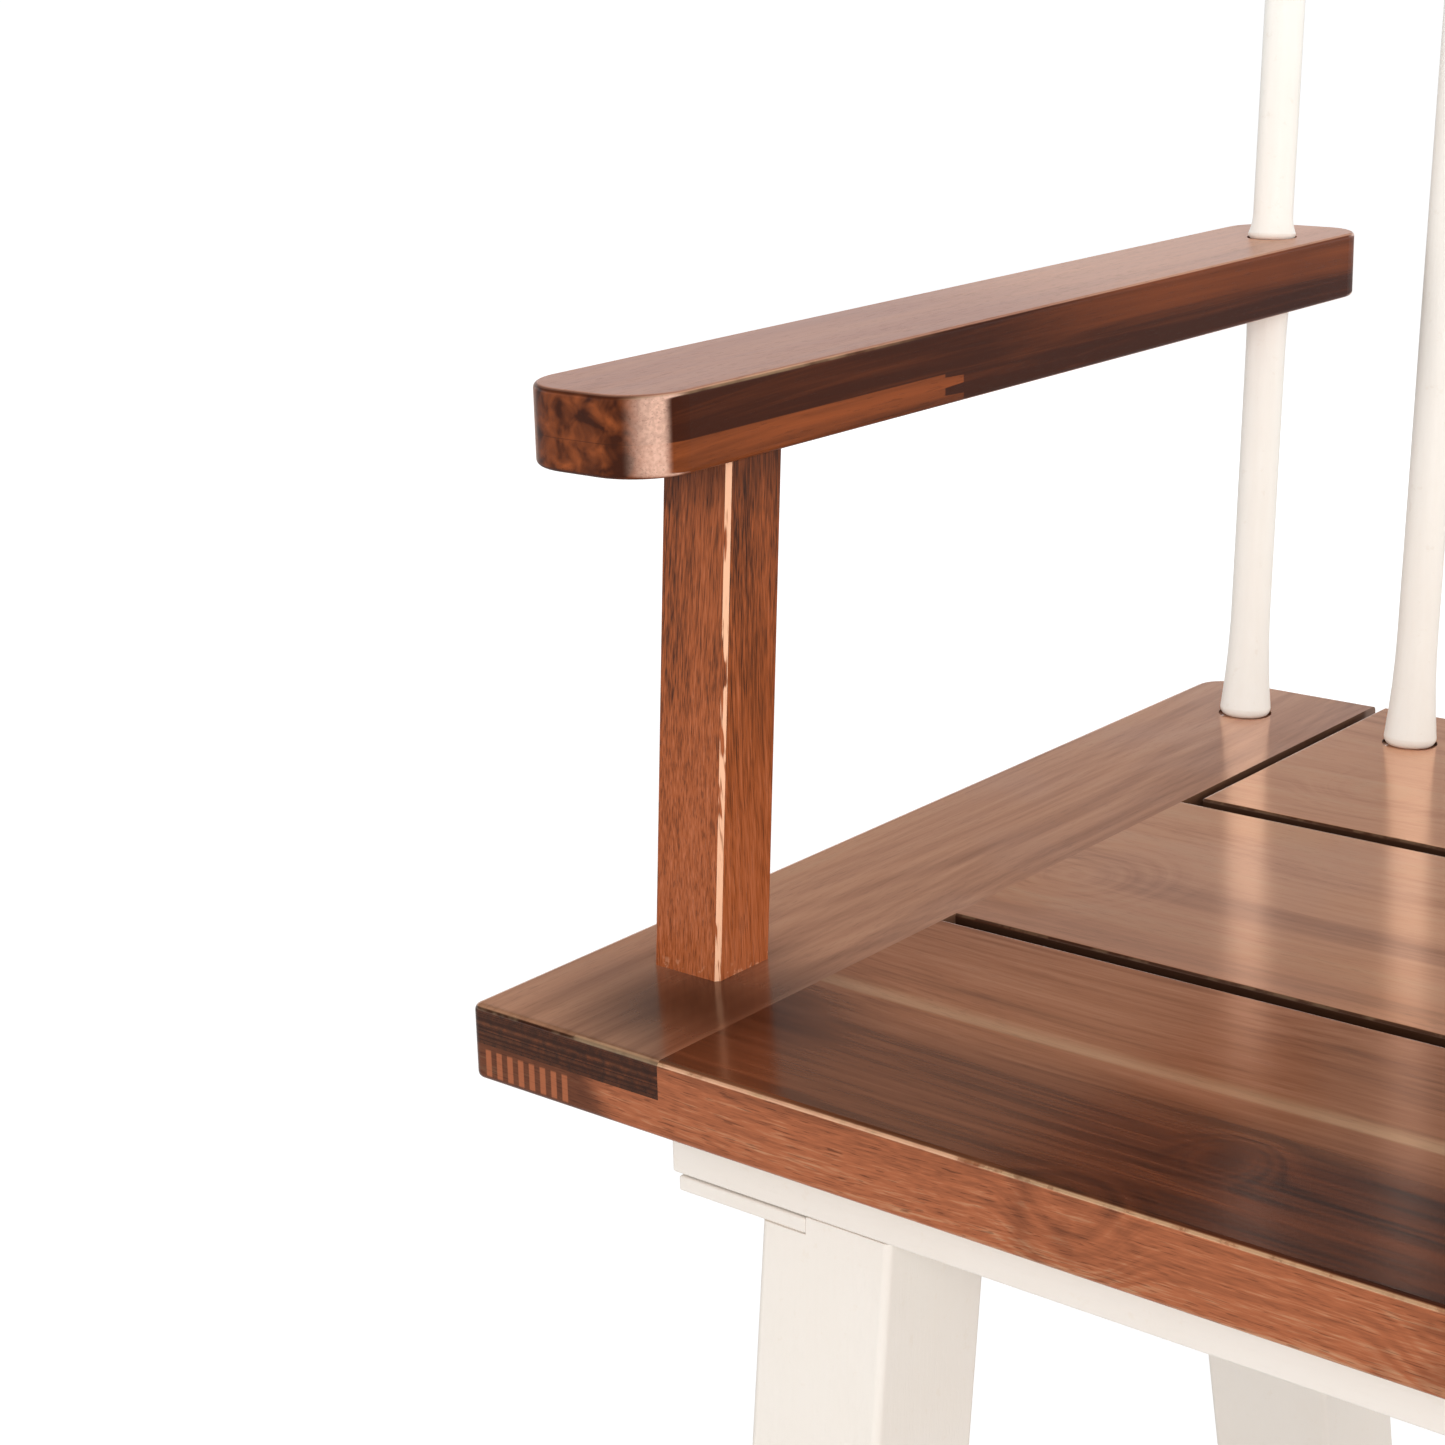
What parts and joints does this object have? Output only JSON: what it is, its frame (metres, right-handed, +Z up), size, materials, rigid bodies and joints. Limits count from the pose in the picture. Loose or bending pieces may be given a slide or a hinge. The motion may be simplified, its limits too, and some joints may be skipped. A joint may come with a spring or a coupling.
{
  "type": "spindle-back armchair",
  "caption": "Slatted wooden armchair with flat arms, a raked spindle back under a crest rail, and splayed painted legs with stretchers.",
  "frame": {"origin": "on the floor, under the middle of the chair's outline", "axes": "+Z up, +Y towards the back, +X to the right as seen from the front"},
  "size_m": [0.59, 0.481, 0.9315],
  "materials": {
    "seat_wood": "semi-gloss walnut-brown lacquer over solid hardwood boards",
    "arm_wood": "semi-gloss walnut-brown lacquer over laminated hardwood",
    "post_wood": "semi-gloss walnut-brown lacquer, lighter and redder, edges rubbed through",
    "crest_wood": "semi-gloss walnut-brown lacquer over solid hardwood",
    "spindle_paint": "satin cream-white paint over turned hardwood",
    "frame_paint": "satin off-white paint over solid hardwood",
    "screw_steel": "zinc-plated steel",
    "glide_plastic": "moulded nylon"
  },
  "bodies": {
    "root": {"seat_front_board": "seat_wood", "seat_middle_board": "seat_wood", "seat_rear_board": "seat_wood", "seat_side_board_left": "seat_wood", "seat_side_board_right": "seat_wood", "arm_left": "arm_wood", "arm_right": "arm_wood", "arm_post_left": "post_wood", "arm_post_right": "post_wood", "crest_rail": "crest_wood", "back_spindle_1": "spindle_paint", "back_spindle_2": "spindle_paint", "back_spindle_3": "spindle_paint", "back_spindle_4": "spindle_paint", "back_spindle_5": "spindle_paint", "back_spindle_6": "spindle_paint", "back_spindle_7": "spindle_paint", "back_spindle_8": "spindle_paint", "arm_spindle_left": "spindle_paint", "arm_spindle_right": "spindle_paint", "front_rail": "frame_paint", "middle_rail": "frame_paint", "back_rail": "frame_paint", "bearer_plate_left": "frame_paint", "bearer_plate_right": "frame_paint", "front_leg_left": "frame_paint", "front_leg_right": "frame_paint", "rear_leg_left": "frame_paint", "rear_leg_right": "frame_paint", "side_stretcher_left": "frame_paint", "side_stretcher_right": "frame_paint", "cross_stretcher": "frame_paint", "front_rail_screws": "screw_steel", "middle_rail_screws": "screw_steel", "back_rail_screws": "screw_steel", "leg_bolts": "screw_steel", "bearer_screws": "screw_steel", "post_screws": "screw_steel", "floor_glides": "glide_plastic"}
  },
  "joints": []
}
